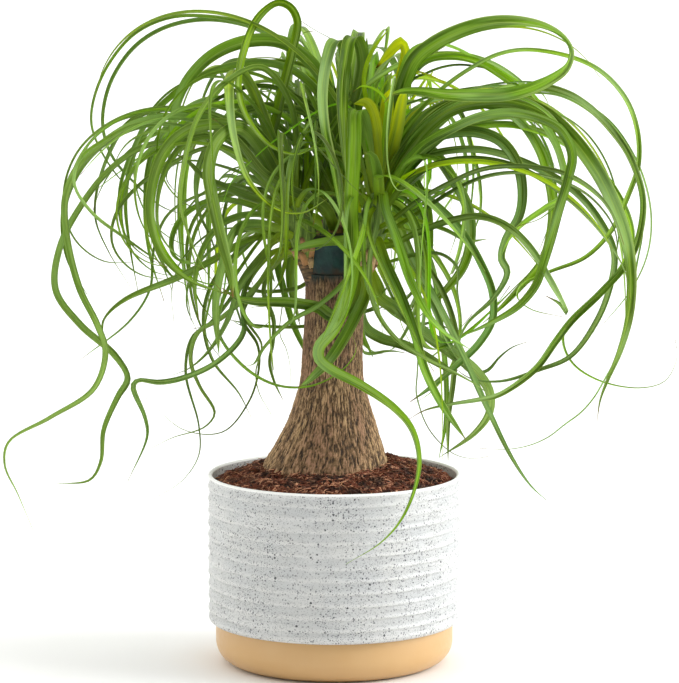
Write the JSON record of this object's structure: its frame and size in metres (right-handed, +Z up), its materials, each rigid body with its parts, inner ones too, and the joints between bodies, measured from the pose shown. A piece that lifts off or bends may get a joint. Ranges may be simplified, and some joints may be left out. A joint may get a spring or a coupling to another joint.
{
  "type": "potted ponytail palm",
  "caption": "Ponytail palm with a swollen bark-covered trunk and arching strap leaves, in a ridged speckled pot on a smooth tray.",
  "frame": {"origin": "centre of the flat underside of the tray that the pot stands on", "axes": "+Z up along the pot's axis, -Y towards the viewer of the plant's front, +X to that viewer's right"},
  "size_m": [0.4302, 0.3623, 0.4321],
  "materials": {
    "pot_white": "satin",
    "tray_peach": "satin",
    "potting_mix": "matte",
    "bark": "matte",
    "wax": "satin",
    "leaf": "satin"
  },
  "bodies": {
    "root": {"planter_body": "pot_white", "planter_base": "tray_peach", "potting_mix": "potting_mix", "trunk": "bark", "wound_seal": "wax", "left_head": "leaf", "back_head": "leaf", "right_head": "leaf"}
  },
  "joints": []
}
